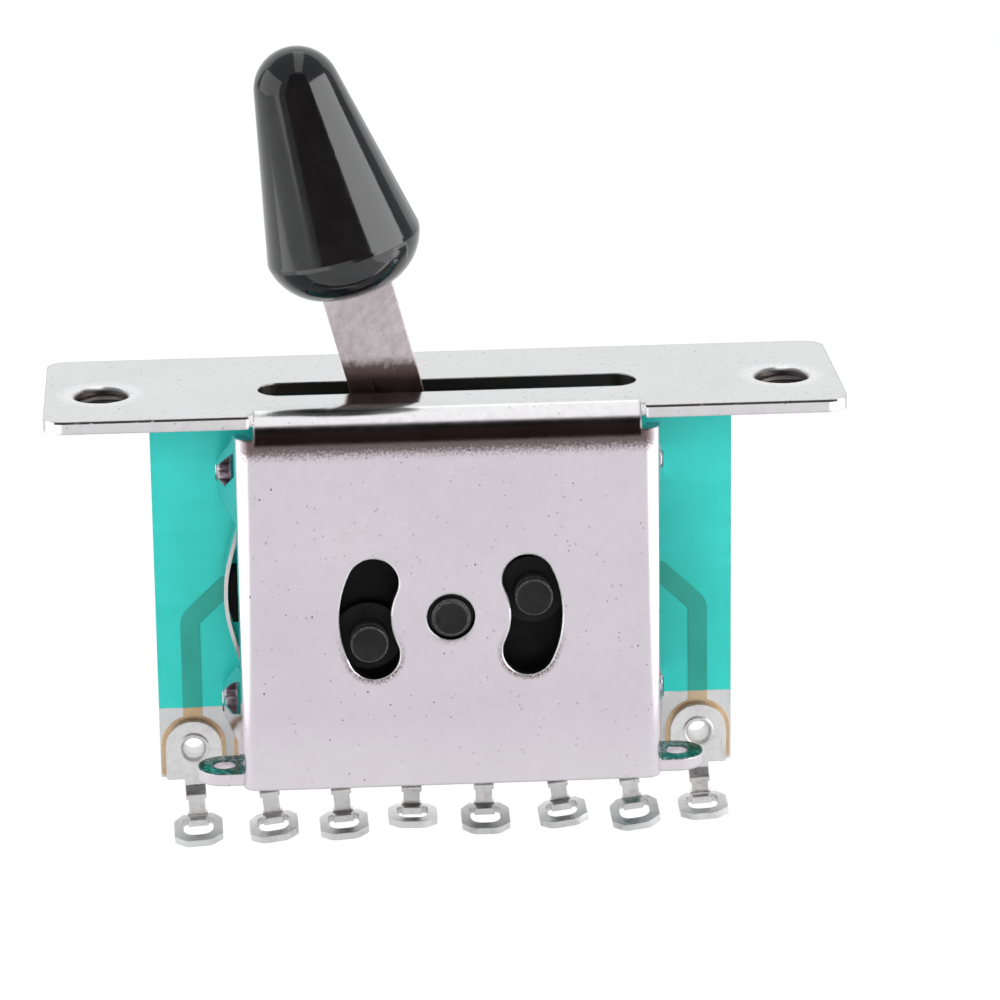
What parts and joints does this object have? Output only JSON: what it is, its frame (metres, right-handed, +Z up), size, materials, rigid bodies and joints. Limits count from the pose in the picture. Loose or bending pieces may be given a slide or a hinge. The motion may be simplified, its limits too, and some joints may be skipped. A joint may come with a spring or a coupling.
{
  "type": "pickup selector switch",
  "caption": "Lever selector switch for guitar pickups: folded plated frame, blade lever with a tapered knob, notched rotor, circuit board and a row of bent solder lugs.",
  "frame": {"origin": "midway between the two mounting holes, on the top face of the plate", "axes": "+X right along the plate, +Y back from the front wall to the circuit board, +Z up towards the knob"},
  "size_m": [0.048, 0.0142, 0.0501],
  "materials": {
    "nickel_plate": "bright nickel plate with fine pits",
    "blade_steel": "brushed lengthwise",
    "knob_plastic": "glossy black",
    "rotor_plastic": "moulded black",
    "wiper_bronze": "bright bronze",
    "leaf_steel": "bright spring steel",
    "pad_plastic": "moulded black",
    "board_laminate": "turquoise solder mask over a pale laminate",
    "track_copper": "bare copper",
    "lug_tin": "tin plated",
    "eyelet_tin": "tin plated"
  },
  "bodies": {
    "switch_body": {"frame": "nickel_plate", "circuit_board": "board_laminate", "detent_spring": "leaf_steel", "detent_pad": "pad_plastic", "copper_track_1": "track_copper", "solder_lug_1": "lug_tin", "eyelet_1": "eyelet_tin", "copper_track_2": "track_copper", "solder_lug_2": "lug_tin", "eyelet_2": "eyelet_tin", "copper_track_3": "track_copper", "solder_lug_3": "lug_tin", "eyelet_3": "eyelet_tin", "copper_track_4": "track_copper", "solder_lug_4": "lug_tin", "eyelet_4": "eyelet_tin", "copper_track_5": "track_copper", "solder_lug_5": "lug_tin", "eyelet_5": "eyelet_tin", "copper_track_6": "track_copper", "solder_lug_6": "lug_tin", "eyelet_6": "eyelet_tin", "copper_track_7": "track_copper", "solder_lug_7": "lug_tin", "eyelet_7": "eyelet_tin", "copper_track_8": "track_copper", "solder_lug_8": "lug_tin", "eyelet_8": "eyelet_tin"},
    "lever": {"lever_blade": "blade_steel", "knob": "knob_plastic", "rotor": "rotor_plastic", "wiper_left": "wiper_bronze", "wiper_right": "wiper_bronze"}
  },
  "joints": [
    {"name": "lever_swing", "type": "hinge", "parent": "switch_body", "child": "lever", "pos_m": [0, 0, -0.01294], "axis": [0, 1, 0], "range_deg": [-14.9, 44.7], "deforming": ["detent_spring", "detent_pad"]}
  ]
}
